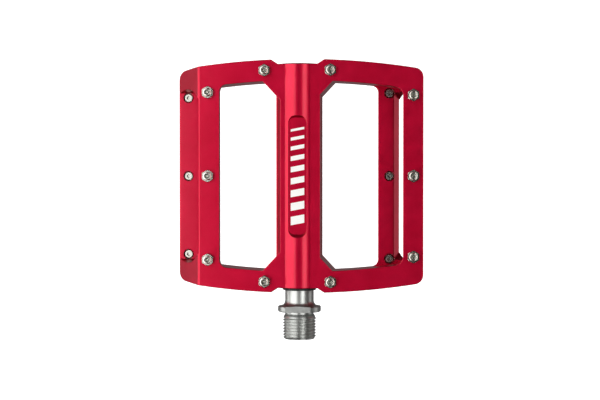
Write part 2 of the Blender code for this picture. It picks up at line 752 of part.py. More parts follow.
def build():
    clear_scene()
    parts = new_collection("flat_pedal")
    cutters = new_collection("cutters")

    red = material("red_anodised", (0.48, 0.012, 0.035), 1.0, 0.38)
    steel = material("forged_steel", (0.58, 0.58, 0.57), 1.0, 0.30)
    pin_steel = material("pin_steel", (0.62, 0.62, 0.58), 1.0, 0.28)
    race_steel = material("bearing_steel", (0.66, 0.66, 0.67), 1.0, 0.15)
    rubber = material("black_rubber", (0.012, 0.012, 0.013), 0.0, 0.60)
    bronze = material("bush_bronze", (0.40, 0.27, 0.15), 1.0, 0.45)
    nylon = material("cage_nylon", (0.28, 0.26, 0.22), 0.0, 0.50)
    cap_finish = material("black_anodised", (0.02, 0.02, 0.022), 0.9, 0.35)

    spindle(steel, parts, cutters)
    spinning = [platform_body(red, parts, cutters)]
    spinning += pins(pin_steel, parts, cutters)
    spinning += [seal(rubber, parts), bush(bronze, parts)]
    rings = bearing_rings(race_steel, parts)
    spinning.append(rings["bearing_outer_ring"])
    spinning += bearing_shields(race_steel, parts)
    caged = [bearing_cage(nylon, parts)] + bearing_balls(race_steel, parts)
    washer(steel, parts)
    lock_nut(steel, parts, cutters)
    spinning += [end_cap(cap_finish, parts, cutters), o_ring(rubber, parts)]

    parent_keep(spinning, empty("platform_axis", CENTRE_Y))
    parent_keep(caged, empty("cage_axis", BEARING_MID))


build()
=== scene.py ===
"""Flat bicycle pedal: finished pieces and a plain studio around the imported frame.

Sizes are in millimetres and are turned into metres by MM. +Z is the normal of
the platform, Y runs along the spindle with the threaded end toward -Y, and the
origin is the centre of the spindle's threaded end face.
"""
import math

import bmesh
import bpy
import numpy as np
from mathutils import Matrix, Vector


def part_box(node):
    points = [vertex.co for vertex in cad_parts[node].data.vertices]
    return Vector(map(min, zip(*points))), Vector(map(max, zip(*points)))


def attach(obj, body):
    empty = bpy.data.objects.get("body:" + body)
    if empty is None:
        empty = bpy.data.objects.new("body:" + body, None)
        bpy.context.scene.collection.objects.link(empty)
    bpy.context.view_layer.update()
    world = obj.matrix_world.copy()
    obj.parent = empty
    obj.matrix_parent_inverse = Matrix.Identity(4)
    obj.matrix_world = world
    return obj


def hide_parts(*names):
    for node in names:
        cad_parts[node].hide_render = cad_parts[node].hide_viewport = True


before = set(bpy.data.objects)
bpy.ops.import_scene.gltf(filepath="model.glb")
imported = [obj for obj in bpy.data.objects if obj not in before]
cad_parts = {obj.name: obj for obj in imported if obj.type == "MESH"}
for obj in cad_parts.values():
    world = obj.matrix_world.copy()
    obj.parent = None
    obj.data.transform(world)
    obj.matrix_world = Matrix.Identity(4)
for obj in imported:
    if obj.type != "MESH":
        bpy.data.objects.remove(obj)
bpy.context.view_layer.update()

MM = 0.001


def node_box(name):
    """Lowest and highest corner of a CAD node, in mm."""
    low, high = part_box(name)
    return low / MM, high / MM


# ---- sizes read from the frame ---------------------------------------------------

BODY_LOW, BODY_HIGH = node_box("platform_body")
TUBE_RADIUS = BODY_HIGH.z
HALF_LENGTH = BODY_HIGH.x
CENTRE_Y = (BODY_LOW.y + BODY_HIGH.y) / 2
SPINDLE_END = node_box("spindle")[1].y
SEAL_LOW, SEAL_HIGH = node_box("shaft_seal")
CAP_LOW, CAP_HIGH = node_box("end_cap")
O_RING_LOW, O_RING_HIGH = node_box("cap_o_ring")
BUSH_HIGH = node_box("plain_bush")[1]
BEARING_LOW, BEARING_HIGH = node_box("bearing_outer_ring")

# ---- platform --------------------------------------------------------------------

SHORT_END = 43.0             # where the shorter plate ends
HALF_THICK = 8.4
CROWN = 50.1                 # half the width at the middle, before the notch
EDGE_RADIUS = 310.0          # curve of the two long edges
CORNER_RADIUS = 4.0
END_LAND = 3.0               # upright strip on each acute end edge
BROW_RADIUS = 1.5            # rounding on each obtuse end edge
NOTCH_HALF, NOTCH_HEIGHT, NOTCH_TOP = 8.5, 48.0, 11.4
TUBE_HALF = 48.2
TUBE_CHAMFER = 0.35
PRESS_FIT, SEAT_GAP = 0.15, 0.3      # room round, and beyond, each piece in the bore
BORE_SHOULDER, BORE_CLEAR, BORE_CLEAR_END = 5.4, 6.6, 92.0

ARM_WIDTH = 9.2
ARM_SHARED_X = 29.5          # both sides of a window follow the arm up to here
RAIL_THICK = 3.3
WIDE_NEAR, WIDE_FAR, WIDE_CORNER = 9.7, 45.0, 4.0
TIGHT_NEAR, TIGHT_FAR, TIGHT_CORNER = 7.5, 33.8, 3.2
GUSSET_X, GUSSET_SLOPE = 15.0, 1.07

SLOT_HALF, SLOT_END_RADIUS = 37.7, 10.0
RAIL_CHAMFER_IN, RAIL_CHAMFER_OUT = 40.6, 42.9

BADGE_HALF_WIDTH, BADGE_HALF_LENGTH = 3.9, 25.0
BADGE_FLOOR, BADGE_CORNER = 8.7, 2.6
BADGE_RUN_OUT = 3.4          # how far the inboard end of the pocket slopes out
BADGE_END_SLOPE = 2.4        # the same at the outboard end
BADGE_DRAFT = 1.12           # the pocket is this much wider at the top

EDGE_BEVEL = 0.25            # broken edges of the machined body
EDGE_SEGMENTS = 3
EDGE_ANGLE = 32.0            # a blunter edge than this is part of a curve
KNIFE_ANGLE = 110.0          # a sharper edge than this is left as the cutter leaves it
SHADE_ANGLE = 31.5           # just under the angle where the tube meets the plate
TIP_OPENING = 50.0           # a face corner narrower than this leaves little room

# ---- pins -------------------------------------------------------------------------

PIN_PLACES = {
    "rear_outboard": (-38.7, 35.9),
    "rear_middle": (-38.7, 0.0),
    "rear_inboard": (-38.7, -35.9),
    "front_outboard": (49.5, 34.3),
    "front_middle": (49.5, 0.0),
    "front_inboard": (49.5, -34.3),
    "arm_rear_outboard": (-14.2, 45.2),
    "arm_front_outboard": (14.2, 45.2),
    "arm_rear_inboard": (-14.2, -45.2),
    "arm_front_inboard": (14.2, -45.2),
}
PIN_HEIGHT = 4.0
PIN_SHANK_RADIUS, PIN_SHANK_DEPTH = 1.95, 3.0
PIN_HEX_RADIUS, PIN_HEX_BASE, PIN_HEX_TOP = 2.75, 0.15, 1.7
PIN_TIP_RADIUS = 1.7
PIN_KEY_RADIUS, PIN_KEY_DEPTH = 0.9, 1.2
PIN_HOLE_RADIUS, PIN_HOLE_DEPTH = 2.25, 3.8
PIN_PITCH = 0.7

# ---- spindle ----------------------------------------------------------------------

THREAD_RADIUS, THREAD_PITCH, THREAD_DEPTH = 7.14, 1.27, 0.65
THREAD_END = 9.0
NECK_RADIUS = 6.1
COLLAR_START, COLLAR_END = 11.8, 14.3
COLLAR_RADIUS, COLLAR_FLAT = 9.3, 7.5
FLARE_END = 16.4
SHAFT_RADIUS, SHAFT_END = 6.2, 24.6
JOURNAL_RADIUS, JOURNAL_END = 6.0, 38.5
WAIST_RADIUS, WAIST_START = 4.5, 52.0
SEAT_RADIUS, SEAT_START = 3.0, 98.3

CAP_KEY_RADIUS, CAP_KEY_DEPTH = 3.46, 2.2

# ---- how finely round pieces are divided ---------------------------------------------

TUBE_STEPS = 144
BORE_STEPS = 72
TURN_STEPS = 96
PIN_STEPS = 48


# ---- mesh tools -------------------------------------------------------------------

PLAN = Matrix.Identity(4)                                   # outline in XY
SECTION = Matrix(((1, 0, 0, 0), (0, 0, 1, 0), (0, 1, 0, 0), (0, 0, 0, 1)))
SIDE = Matrix(((0, 0, 1, 0), (1, 0, 0, 0), (0, 1, 0, 0), (0, 0, 0, 1)))
Z_TO_Y = Matrix.Rotation(math.radians(-90.0), 4, "X")
Y_TO_Z = Matrix.Rotation(math.radians(90.0), 4, "X")
HALF_TURN = Matrix.Rotation(math.pi, 4, "Y")

workshop = bpy.data.collections.new("workshop")
bpy.context.scene.collection.children.link(workshop)


def add_object(name, mesh):
    made = bpy.data.objects.new(name, mesh)
    bpy.context.scene.collection.objects.link(made)
    return made


def scratch(name, mesh):
    """An object that only lends its shape to another and is removed again."""
    made = bpy.data.objects.new(name, mesh)
    workshop.objects.link(made)
    return made


def remove(objects):
    for used in objects:
        bpy.data.objects.remove(used, do_unlink=True)


def baked_mesh(source):
    bpy.context.view_layer.update()
    graph = bpy.context.evaluated_depsgraph_get()
    return bpy.data.meshes.new_from_object(source.evaluated_get(graph))


def combine(base, others, operation):
    """A new mesh: base cut or joined with the other meshes, one after another."""
    blank = scratch("blank", base)
    tools = [scratch("tool", other) for other in others]
    for tool in tools:
        cut = blank.modifiers.new("cut", "BOOLEAN")
        cut.operation = operation
        cut.solver = "EXACT"
        cut.object = tool
    made = baked_mesh(blank)
    remove([blank] + tools)
    return made


def combine_group(base, others, operation, crossing=False):
    """The same with every tool in one cut, for tools that overlap each other.

    crossing allows for rounded edges that run into each other on the base.
    """
    blank = scratch("blank", base)
    group = bpy.data.collections.new("tools")
    tools = []
    for other in others:
        tool = bpy.data.objects.new("tool", other)
        group.objects.link(tool)
        tools.append(tool)
    cut = blank.modifiers.new("cut", "BOOLEAN")
    cut.operation = operation
    cut.solver = "EXACT"
    cut.operand_type = "COLLECTION"
    cut.collection = group
    cut.use_self = crossing
    bpy.context.scene.collection.children.link(group)
    made = baked_mesh(blank)
    remove([blank] + tools)
    bpy.data.collections.remove(group)
    return made


def moved(mesh, matrix):
    copy = mesh.copy()
    copy.transform(matrix)
    return copy


def prism(outline, low, high, view):
    """A flat outline in mm, pushed from low to high along the view's normal."""
    curve = bpy.data.curves.new("outline", "CURVE")
    curve.dimensions = "2D"
    curve.fill_mode = "BOTH"
    curve.extrude = (high - low) / 2 * MM
    spline = curve.splines.new("POLY")
    spline.points.add(len(outline) - 1)
    for point, (u, v) in zip(spline.points, outline):
        point.co = (u * MM, v * MM, 0.0, 1.0)
    spline.use_cyclic_u = True
    flat = scratch("flat", curve)
    mesh = baked_mesh(flat)
    remove([flat])
    place = view @ Matrix.Translation((0, 0, (low + high) / 2 * MM))
    solid = bmesh.new()
    solid.from_mesh(mesh)
    bmesh.ops.remove_doubles(solid, verts=solid.verts, dist=1e-6)
    bmesh.ops.dissolve_limit(solid, angle_limit=1e-4, verts=solid.verts, edges=solid.edges)
    bmesh.ops.transform(solid, matrix=place, verts=solid.verts)
    bmesh.ops.recalc_face_normals(solid, faces=solid.faces)
    solid.to_mesh(mesh)
    solid.free()
    return mesh


def turned(profile, steps, closed=False):
    """A profile of (radius, y) in mm, listed from high y to low y on its
    outer side, turned about the Y axis."""
    mesh = bpy.data.meshes.new("profile")
    edges = [(i, i + 1) for i in range(len(profile) - 1)]
    if closed:
        edges.append((len(profile) - 1, 0))
    mesh.from_pydata([(r * MM, 0.0, y * MM) for r, y in profile], edges, [])
    blank = scratch("profile", mesh)
    screw = blank.modifiers.new("turn", "SCREW")
    screw.axis = "Z"
    screw.steps = steps
    screw.render_steps = steps
    screw.use_merge_vertices = True
    screw.merge_threshold = 1e-6
    solid = baked_mesh(blank)
    remove([blank])
    solid.transform(Z_TO_Y)
    return solid


def cone_mesh(radius, top_radius, low, high, sides):
    """A regular prism or cone standing along Z, in mm."""
    solid = bmesh.new()
    bmesh.ops.create_cone(solid, cap_ends=True, segments=sides, radius1=radius * MM,
                          radius2=top_radius * MM, depth=(high - low) * MM)
    bmesh.ops.translate(solid, verts=solid.verts, vec=(0, 0, (low + high) / 2 * MM))
    mesh = bpy.data.meshes.new("cone")
    solid.to_mesh(mesh)
    solid.free()
    return mesh


def box_mesh(low, high):
    solid = bmesh.new()
    bmesh.ops.create_cube(solid, size=1.0)
    size = [(b - a) * MM for a, b in zip(low, high)]
    middle = [(a + b) / 2 * MM for a, b in zip(low, high)]
    bmesh.ops.scale(solid, verts=solid.verts, vec=size)
    bmesh.ops.translate(solid, verts=solid.verts, vec=middle)
    mesh = bpy.data.meshes.new("box")
    solid.to_mesh(mesh)
    solid.free()
    return mesh


def doubled_faces(solid):
    """Faces that lie back to back on the same corners, with nothing between them."""
    on_corners = {}
    for face in solid.faces:
        on_corners.setdefault(frozenset(face.verts), []).append(face)
    return [face for faces in on_corners.values() if len(faces) == 2 for face in faces]


def cleaned(mesh, merge, flat_degrees):
    """Merge points that nearly coincide and join faces that lie in one plane."""
    solid = bmesh.new()
    solid.from_mesh(mesh)
    bmesh.ops.remove_doubles(solid, verts=solid.verts, dist=merge * MM)
    bmesh.ops.delete(solid, geom=doubled_faces(solid), context="FACES")
    bmesh.ops.dissolve_limit(solid, angle_limit=math.radians(flat_degrees),
                             verts=solid.verts, edges=solid.edges)
    solid.to_mesh(mesh)
    solid.free()
    return mesh


def face_room(face, sharp):
    """How far each edge of a face may be pushed in before it meets another."""
    edges = list(face.edges)
    start = np.array([edge.verts[0].co for edge in edges])
    end = np.array([edge.verts[1].co for edge in edges])
    along = end - start
    length = np.linalg.norm(along, axis=1)
    unit = along / length[:, None]
    share = np.array([0.45 if edge in sharp else 0.9 for edge in edges])
    ends = np.array([[vertex.index for vertex in edge.verts] for edge in edges])
    touching = (ends[:, None, :, None] == ends[None, :, None, :]).any(axis=(2, 3))
    room = np.full((len(edges), len(edges)), np.inf)
    for points in (start, end, (start + end) / 2):
        to_point = points[None, :, :] - start[:, None, :]
        reach = np.clip((to_point * unit[:, None, :]).sum(axis=2), 0.0, length[:, None])
        gap = to_point - reach[..., None] * unit[:, None, :]
        for step, own in ((gap, unit[:, None, :]), (gap.transpose(1, 0, 2), unit[:, None, :])):
            beside = np.linalg.norm(step - (step * own).sum(axis=2)[..., None] * own, axis=2)
            blocked = beside >= 0.5 * np.linalg.norm(step, axis=2)
            room = np.where(blocked, np.minimum(room, beside), room)
    room[touching] = np.inf
    return edges, (room * share[None, :]).min(axis=1)


def weigh_edges(mesh):
    """Mark the outward edges for a bevel, with less of it where there is little room."""
    solid = bmesh.new()
    solid.from_mesh(mesh)
    solid.verts.index_update()
    weight = solid.edges.layers.float.new("bevel_weight_edge")
    sharp = {edge for edge in solid.edges
             if edge.is_convex and
             math.radians(EDGE_ANGLE) < edge.calc_face_angle(0.0) < math.radians(KNIFE_ANGLE)}
    room = {edge: EDGE_BEVEL * MM for edge in sharp}
    for face in solid.faces:
        if len(face.edges) > 3:
            for edge, free in zip(*face_room(face, sharp)):
                if edge in sharp:
                    room[edge] = min(room[edge], free)
        for corner in face.loops:
            sides = (corner.edge, corner.link_loop_prev.edge)
            opening = corner.calc_angle()
            if opening < math.radians(TIP_OPENING) and sharp.issuperset(sides):
                free = 0.4 * min(side.calc_length() for side in sides) * math.tan(opening / 2)
                for side in sides:
                    room[side] = min(room[side], free)
    for edge, free in room.items():
        edge[weight] = free / (EDGE_BEVEL * MM)
    solid.to_mesh(mesh)
    solid.free()


def broken_edges(mesh):
    """The mesh with its outward sharp edges rounded."""
    weigh_edges(mesh)
    blank = scratch("blank", mesh)
    bevel = blank.modifiers.new("broken_edges", "BEVEL")
    bevel.width = EDGE_BEVEL * MM
    bevel.segments = EDGE_SEGMENTS
    bevel.limit_method = "WEIGHT"
    bevel.miter_outer = "MITER_SHARP"
    bevel.use_clamp_overlap = False
    made = baked_mesh(blank)
    remove([blank])
    return made


def even_shading(piece):
    """Large flat faces keep their own normal, and the small ones round them off."""
    shading = piece.modifiers.new("shading", "WEIGHTED_NORMAL")
    shading.keep_sharp = True
    shading.weight = 100
    shading.mode = "FACE_AREA"


def smooth(mesh, degrees=35.0):
    mesh.shade_smooth()
    mesh.set_sharp_from_angle(angle=math.radians(degrees))
    return mesh


def arc(centre, radius, start, end, steps):
    """Points on an arc, angles in degrees."""
    points = []
    for i in range(steps + 1):
        angle = math.radians(start + (end - start) * i / steps)
        points.append((centre[0] + radius * math.cos(angle),
                       centre[1] + radius * math.sin(angle)))
    return points


def half_turn(points):
    return [(-u, -v) for u, v in points]


def dress(piece, finish, body, nodes=()):
    """Material, body, material slot and the CAD nodes that a piece stands for."""
    piece.data.materials.clear()
    piece.data.materials.append(finish)
    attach(piece, body)
    if nodes:
        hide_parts(*nodes)
    return piece


# ---- materials --------------------------------------------------------------------

class Finish:
    """A Principled material with a few helpers for procedural detail."""

    def __init__(self, name, colour, metallic, roughness):
        self.made = bpy.data.materials.new(name)
        self.made.use_nodes = True
        self.made.diffuse_color = (*colour, 1.0)
        self.tree = self.made.node_tree
        self.shader = self.tree.nodes["Principled BSDF"]
        self.shader.inputs["Base Color"].default_value = (*colour, 1.0)
        self.shader.inputs["Metallic"].default_value = metallic
        self.shader.inputs["Roughness"].default_value = roughness
        self.place = self.tree.nodes.new("ShaderNodeTexCoord").outputs["Object"]

    def set(self, socket, value):
        self.shader.inputs[socket].default_value = value

    def link(self, source, target):
        self.tree.links.new(source, target)

    def stretched(self, scale):
        node = self.tree.nodes.new("ShaderNodeMapping")
        node.inputs["Scale"].default_value = scale
        self.link(self.place, node.inputs["Vector"])
        return node.outputs["Vector"]

    def noise(self, scale, detail=2.0, place=None, rough=0.5):
        node = self.tree.nodes.new("ShaderNodeTexNoise")
        node.inputs["Scale"].default_value = scale
        node.inputs["Detail"].default_value = detail
        node.inputs["Roughness"].default_value = rough
        self.link(place or self.place, node.inputs["Vector"])
        return node.outputs["Fac"]

    def spread(self, value, from_low, from_high, low, high):
        node = self.tree.nodes.new("ShaderNodeMapRange")
        for socket, number in (("From Min", from_low), ("From Max", from_high),
                               ("To Min", low), ("To Max", high)):
            node.inputs[socket].default_value = number
        self.link(value, node.inputs["Value"])
        return node.outputs["Result"]

    def combine(self, operation, first, second):
        node = self.tree.nodes.new("ShaderNodeMath")
        node.operation = operation
        for socket, value in zip(node.inputs, (first, second)):
            if isinstance(value, (int, float)):
                socket.default_value = value
            else:
                self.link(value, socket)
        return node.outputs["Value"]

    def blend(self, factor, first, second):
        node = self.tree.nodes.new("ShaderNodeMix")
        node.data_type = "RGBA"
        self.link(factor, node.inputs["Factor"])
        for socket, value in ((node.inputs[6], first), (node.inputs[7], second)):
            if isinstance(value, tuple):
                socket.default_value = (*value, 1.0)
            else:
                self.link(value, socket)
        return node.outputs[2]

    def bump(self, height, depth_mm, under=None):
        node = self.tree.nodes.new("ShaderNodeBump")
        node.inputs["Strength"].default_value = 1.0
        node.inputs["Distance"].default_value = depth_mm * MM
        self.link(height, node.inputs["Height"])
        if under is not None:
            self.link(under, node.inputs["Normal"])
        self.link(node.outputs["Normal"], self.shader.inputs["Normal"])
        return node.outputs["Normal"]


def anodised_red():
    """Bead-blasted and dyed aluminium under a clear sealed oxide."""
    deep, plain = (0.48, 0.002, 0.026), (0.55, 0.004, 0.035)
    red = Finish("red_anodised_finish", plain, 1.0, 0.38)
    patches = red.spread(red.noise(90, 3.0), 0.3, 0.7, 0.0, 1.0)
    grain = red.noise(5200, 3.0)
    colour = red.blend(patches, deep, plain)
    speck = red.spread(grain, 0.35, 0.75, 0.0, 0.22)
    colour = red.blend(speck, colour, (0.70, 0.02, 0.06))
    red.link(colour, red.shader.inputs["Base Color"])
    dull = red.combine("ADD", red.spread(red.noise(260, 4.0), 0.3, 0.7, 0.36, 0.42),
                       red.spread(grain, 0.3, 0.7, -0.03, 0.05))
    red.link(dull, red.shader.inputs["Roughness"])
    low = red.bump(red.noise(420, 3.0), 0.006)
    red.bump(grain, 0.012, under=low)
    red.set("Coat Weight", 0.45)
    red.set("Coat Roughness", 0.14)
    red.set("Coat IOR", 1.5)
    return red.made


def turned_steel(name, colour, axis, fine=5200.0, roughness=(0.30, 0.38)):
    """Steel with the fine rings that a lathe leaves around one axis."""
    steel = Finish(name, colour, 1.0, 0.28)
    along = tuple(1.0 if k == axis else 0.02 for k in range(3))
    rings = steel.noise(fine, 3.0, steel.stretched(along), 0.7)
    scuffs = steel.noise(900, 4.0, steel.stretched((1.0, 1.0, 1.0)))
    shade = steel.spread(steel.noise(300, 3.0), 0.3, 0.7, 0.0, 1.0)
    darker = tuple(value * 0.9 for value in colour)
    steel.link(steel.blend(shade, darker, colour), steel.shader.inputs["Base Color"])
    dull = steel.combine("ADD", steel.spread(rings, 0.3, 0.7, *roughness),
                         steel.spread(scuffs, 0.45, 0.75, 0.0, 0.06))
    steel.link(dull, steel.shader.inputs["Roughness"])
    low = steel.bump(scuffs, 0.0004)
    steel.bump(rings, 0.0006, under=low)
    return steel.made


def black_rubber():
    rubber = Finish("rubber_finish", (0.012, 0.012, 0.013), 0.0, 0.6)
    dust = rubber.spread(rubber.noise(1500, 4.0), 0.45, 0.8, 0.0, 0.5)
    colour = rubber.blend(dust, (0.010, 0.010, 0.011), (0.045, 0.042, 0.040))
    rubber.link(colour, rubber.shader.inputs["Base Color"])
    rubber.link(rubber.spread(rubber.noise(2600), 0.3, 0.7, 0.5, 0.72),
                rubber.shader.inputs["Roughness"])
    rubber.bump(rubber.noise(3500, 3.0), 0.02)
    rubber.set("Specular IOR Level", 0.4)
    return rubber.made


def sintered_bronze():
    bronze = Finish("bronze_finish", (0.40, 0.27, 0.15), 1.0, 0.45)
    pores = bronze.spread(bronze.noise(4200, 2.0), 0.55, 0.7, 0.0, 1.0)
    bronze.link(bronze.blend(pores, (0.45, 0.30, 0.16), (0.16, 0.10, 0.06)),
                bronze.shader.inputs["Base Color"])
    bronze.link(bronze.spread(pores, 0.0, 1.0, 0.38, 0.7), bronze.shader.inputs["Roughness"])
    bronze.bump(pores, -0.02)
    return bronze.made


def moulded_nylon():
    nylon = Finish("nylon_finish", (0.28, 0.26, 0.22), 0.0, 0.5)
    cloud = nylon.noise(500, 3.0)
    nylon.link(nylon.blend(cloud, (0.24, 0.22, 0.18), (0.36, 0.34, 0.29)),
               nylon.shader.inputs["Base Color"])
    nylon.link(nylon.spread(cloud, 0.3, 0.7, 0.42, 0.58), nylon.shader.inputs["Roughness"])
    nylon.bump(nylon.noise(3000), 0.008)
    nylon.set("Subsurface Weight", 0.1)
    nylon.set("Subsurface Scale", 0.0005)
    return nylon.made


def black_anodised():
    black = Finish("black_anodised_finish", (0.02, 0.02, 0.022), 0.9, 0.35)
    rings = black.noise(4000, 3.0, black.stretched((1.0, 0.03, 1.0)))
    worn = black.spread(black.noise(1400, 4.0), 0.6, 0.85, 0.0, 0.4)
    black.link(black.blend(worn, (0.016, 0.016, 0.018), (0.35, 0.35, 0.36)),
               black.shader.inputs["Base Color"])
    black.link(black.spread(rings, 0.3, 0.7, 0.28, 0.42), black.shader.inputs["Roughness"])
    black.bump(rings, 0.006)
    return black.made


def white_print():
    """Screen-printed ink, a little thin in places."""
    ink = Finish("white_print_finish", (0.86, 0.85, 0.82), 0.0, 0.5)
    thin = ink.spread(ink.noise(2600, 4.0), 0.55, 0.8, 0.0, 0.5)
    ink.link(ink.blend(thin, (0.88, 0.87, 0.84), (0.78, 0.66, 0.64)),
             ink.shader.inputs["Base Color"])
    ink.link(ink.spread(ink.noise(1800), 0.3, 0.7, 0.42, 0.6), ink.shader.inputs["Roughness"])
    ink.bump(ink.noise(5200, 3.0), 0.008)
    return ink.made


# ---- platform body ------------------------------------------------------------------

EDGE_CENTRE = CROWN - EDGE_RADIUS


def edge_height(x, inset=0.0):
    """Height of the curved long edge, or of a line inside it, at x."""
    return EDGE_CENTRE + math.sqrt((EDGE_RADIUS - inset) ** 2 - x * x)


def rounded_corner(x_limit, radius, inset, steps):
    """The arc between an upright at x_limit and the curved long edge."""
    reach = EDGE_RADIUS - inset - radius
    centre = (x_limit - radius, EDGE_CENTRE + math.sqrt(reach ** 2 - (x_limit - radius) ** 2))
    tangent = math.degrees(math.atan2(centre[1] - EDGE_CENTRE, centre[0]))
    return arc(centre, radius, 0.0, tangent, steps)


def edge_points(x_from, x_to, inset, steps):
    """Points along the curved edge between two places, ends left out."""
    return [(x, edge_height(x, inset))
            for x in (x_from + (x_to - x_from) * i / steps for i in range(1, steps))]


def mirror_quadrant(points):
    """A closed outline from the points of its first quadrant."""
    upper = points + [(-x, y) for x, y in reversed(points) if x > 0]
    return upper + [(x, -y) for x, y in reversed(upper)]


def shifted(outline):
    """Move a plan outline from the platform's middle to its place along Y."""
    return [(x, y + CENTRE_Y) for x, y in outline]


def shifted_side(outline):
    return [(y + CENTRE_Y, z) for y, z in outline]


def plan_outline():
    corner = rounded_corner(HALF_LENGTH, CORNER_RADIUS, 0.0, 12)
    quadrant = corner + edge_points(corner[-1][0], NOTCH_TOP, 0.0, 14)
    quadrant += [(NOTCH_TOP, edge_height(NOTCH_TOP)), (NOTCH_HALF, NOTCH_HEIGHT)]
    return mirror_quadrant(quadrant)


def end_section():
    """Section across the platform, with one end leaning over at each side."""
    slope = Vector((SHORT_END - HALF_LENGTH, -2 * HALF_THICK + END_LAND)).normalized()
    turn = math.acos(-slope.x)
    trim = BROW_RADIUS * math.tan(turn / 2)
    centre = (-SHORT_END + trim, HALF_THICK - BROW_RADIUS)
    brow = arc(centre, BROW_RADIUS, 90.0, 90.0 + math.degrees(turn), 8)
    land = [(-HALF_LENGTH, -HALF_THICK + END_LAND), (-HALF_LENGTH, -HALF_THICK)]
    return brow + land + half_turn(brow) + half_turn(land)


def window_outline(near, far, corner_radius):
    """One window in plan, at +X. Every window shares the points of its arm side."""
    corner = rounded_corner(far, corner_radius, ARM_WIDTH, 10)
    top = edge_height(GUSSET_X, ARM_WIDTH)
    upper = corner + edge_points(corner[-1][0], ARM_SHARED_X, ARM_WIDTH, 6)
    upper += [(ARM_SHARED_X, edge_height(ARM_SHARED_X, ARM_WIDTH))]
    upper += edge_points(ARM_SHARED_X, GUSSET_X, ARM_WIDTH, 8) + [(GUSSET_X, top)]
    upper += [(x, top - (GUSSET_X - x) * GUSSET_SLOPE)
              for x in (WIDE_NEAR, TIGHT_NEAR) if x >= near]
    return upper + [(x, -y) for x, y in reversed(upper)]


def slot_outline():
    """Slot through an end wall, seen along X: (y, z) with curved ends."""
    low, high = -HALF_THICK - 1.0, HALF_THICK - RAIL_THICK
    middle = SLOT_HALF - SLOT_END_RADIUS
    start = math.degrees(math.asin(low / SLOT_END_RADIUS))
    end = math.degrees(math.asin(high / SLOT_END_RADIUS))
    right = arc((middle, 0.0), SLOT_END_RADIUS, start, end, 16)
    return right + [(-y, z) for y, z in reversed(right)]


def slot_section():
    """The same slot, seen along the spindle: (x, z), at the +X end."""
    floor, roof = -HALF_THICK + RAIL_THICK, HALF_THICK - RAIL_THICK
    run = (RAIL_CHAMFER_OUT - RAIL_CHAMFER_IN) / RAIL_THICK
    below = -HALF_THICK - 1.5
    foot = RAIL_CHAMFER_OUT + run * (-HALF_THICK - below)
    beyond = HALF_LENGTH + 6.0
    return [(foot, below), (beyond, below), (beyond, roof), (WIDE_FAR - 2.0, roof),
            (RAIL_CHAMFER_IN - run, floor + 1.0)]


def both_sides(mesh):
    """A mesh and the same turned half a turn about the spindle."""
    return [mesh, moved(mesh, HALF_TURN)]


def window_tools():
    floor = -HALF_THICK + RAIL_THICK
    wide = prism(shifted(window_outline(WIDE_NEAR, WIDE_FAR, WIDE_CORNER)),
                 floor, HALF_THICK + 1, PLAN)
    tight = prism(shifted(window_outline(TIGHT_NEAR, TIGHT_FAR, TIGHT_CORNER)),
                  -HALF_THICK - 1, floor + 1, PLAN)
    return both_sides(combine(wide, [tight], "UNION"))


def slot_tools():
    length = prism(shifted_side(slot_outline()), RAIL_CHAMFER_IN - 2, HALF_LENGTH + 4, SIDE)
    across = prism(slot_section(), CENTRE_Y - 45, CENTRE_Y + 45, SECTION)
    return both_sides(combine(length, [across], "INTERSECT"))


def bore_profile():
    """Stepped bore of the tube, from the outboard face to the crank side."""
    face_in, face_out = CENTRE_Y - TUBE_HALF, CENTRE_Y + TUBE_HALF
    seal_seat, bush_seat = SEAL_HIGH.y + SEAT_GAP, BUSH_HIGH.y + SEAT_GAP
    bearing_seat, cap_seat = BEARING_LOW.y - SEAT_GAP, CAP_LOW.y - SEAT_GAP
    cap, bearing = CAP_HIGH.x + PRESS_FIT, BEARING_HIGH.x + PRESS_FIT
    bush, seal = BUSH_HIGH.x + PRESS_FIT, SEAL_HIGH.x + PRESS_FIT
    return [(0.0, face_out + 1), (cap + 1.3, face_out + 1), (cap, face_out - 0.3),
            (cap, cap_seat), (bearing, cap_seat), (bearing, bearing_seat),
            (BORE_SHOULDER, bearing_seat), (BORE_SHOULDER, BORE_CLEAR_END),
            (BORE_CLEAR, BORE_CLEAR_END), (BORE_CLEAR, bush_seat),
            (bush, bush_seat), (bush, seal_seat), (seal, seal_seat),
            (seal, face_in + 0.25), (seal + 1.25, face_in - 1), (0.0, face_in - 1)]


def badge_tools():
    """A shallow pocket with slightly drafted sides and sloping ends."""
    corner = arc((BADGE_HALF_WIDTH - BADGE_CORNER, BADGE_HALF_LENGTH - BADGE_CORNER),
                 BADGE_CORNER, 0.0, 90.0, 10)
    mesh = prism(shifted(mirror_quadrant(corner)), BADGE_FLOOR, TUBE_RADIUS + 2, PLAN)
    for vertex in mesh.vertices:
        if vertex.co.z > TUBE_RADIUS * MM:
            vertex.co.x *= BADGE_DRAFT
            if vertex.co.y < (CENTRE_Y - BADGE_HALF_LENGTH + BADGE_CORNER + 0.1) * MM:
                vertex.co.y -= BADGE_RUN_OUT * MM
            elif vertex.co.y > (CENTRE_Y + BADGE_HALF_LENGTH - BADGE_CORNER - 0.1) * MM:
                vertex.co.y += BADGE_END_SLOPE * MM
    return both_sides(mesh)


def pin_frame(place, upper):
    """Where a pin sits: its own +Z points out of the plate."""
    x, y = place
    spot = Matrix.Translation((x * MM, (y + CENTRE_Y) * MM, HALF_THICK * MM))
    return spot if upper else HALF_TURN @ spot


def pin_hole_tools():
    hole = cone_mesh(PIN_HOLE_RADIUS, PIN_HOLE_RADIUS, -PIN_HOLE_DEPTH, 1.0, 32)
    return [moved(hole, pin_frame(place, upper))
            for place in PIN_PLACES.values() for upper in (True, False)]


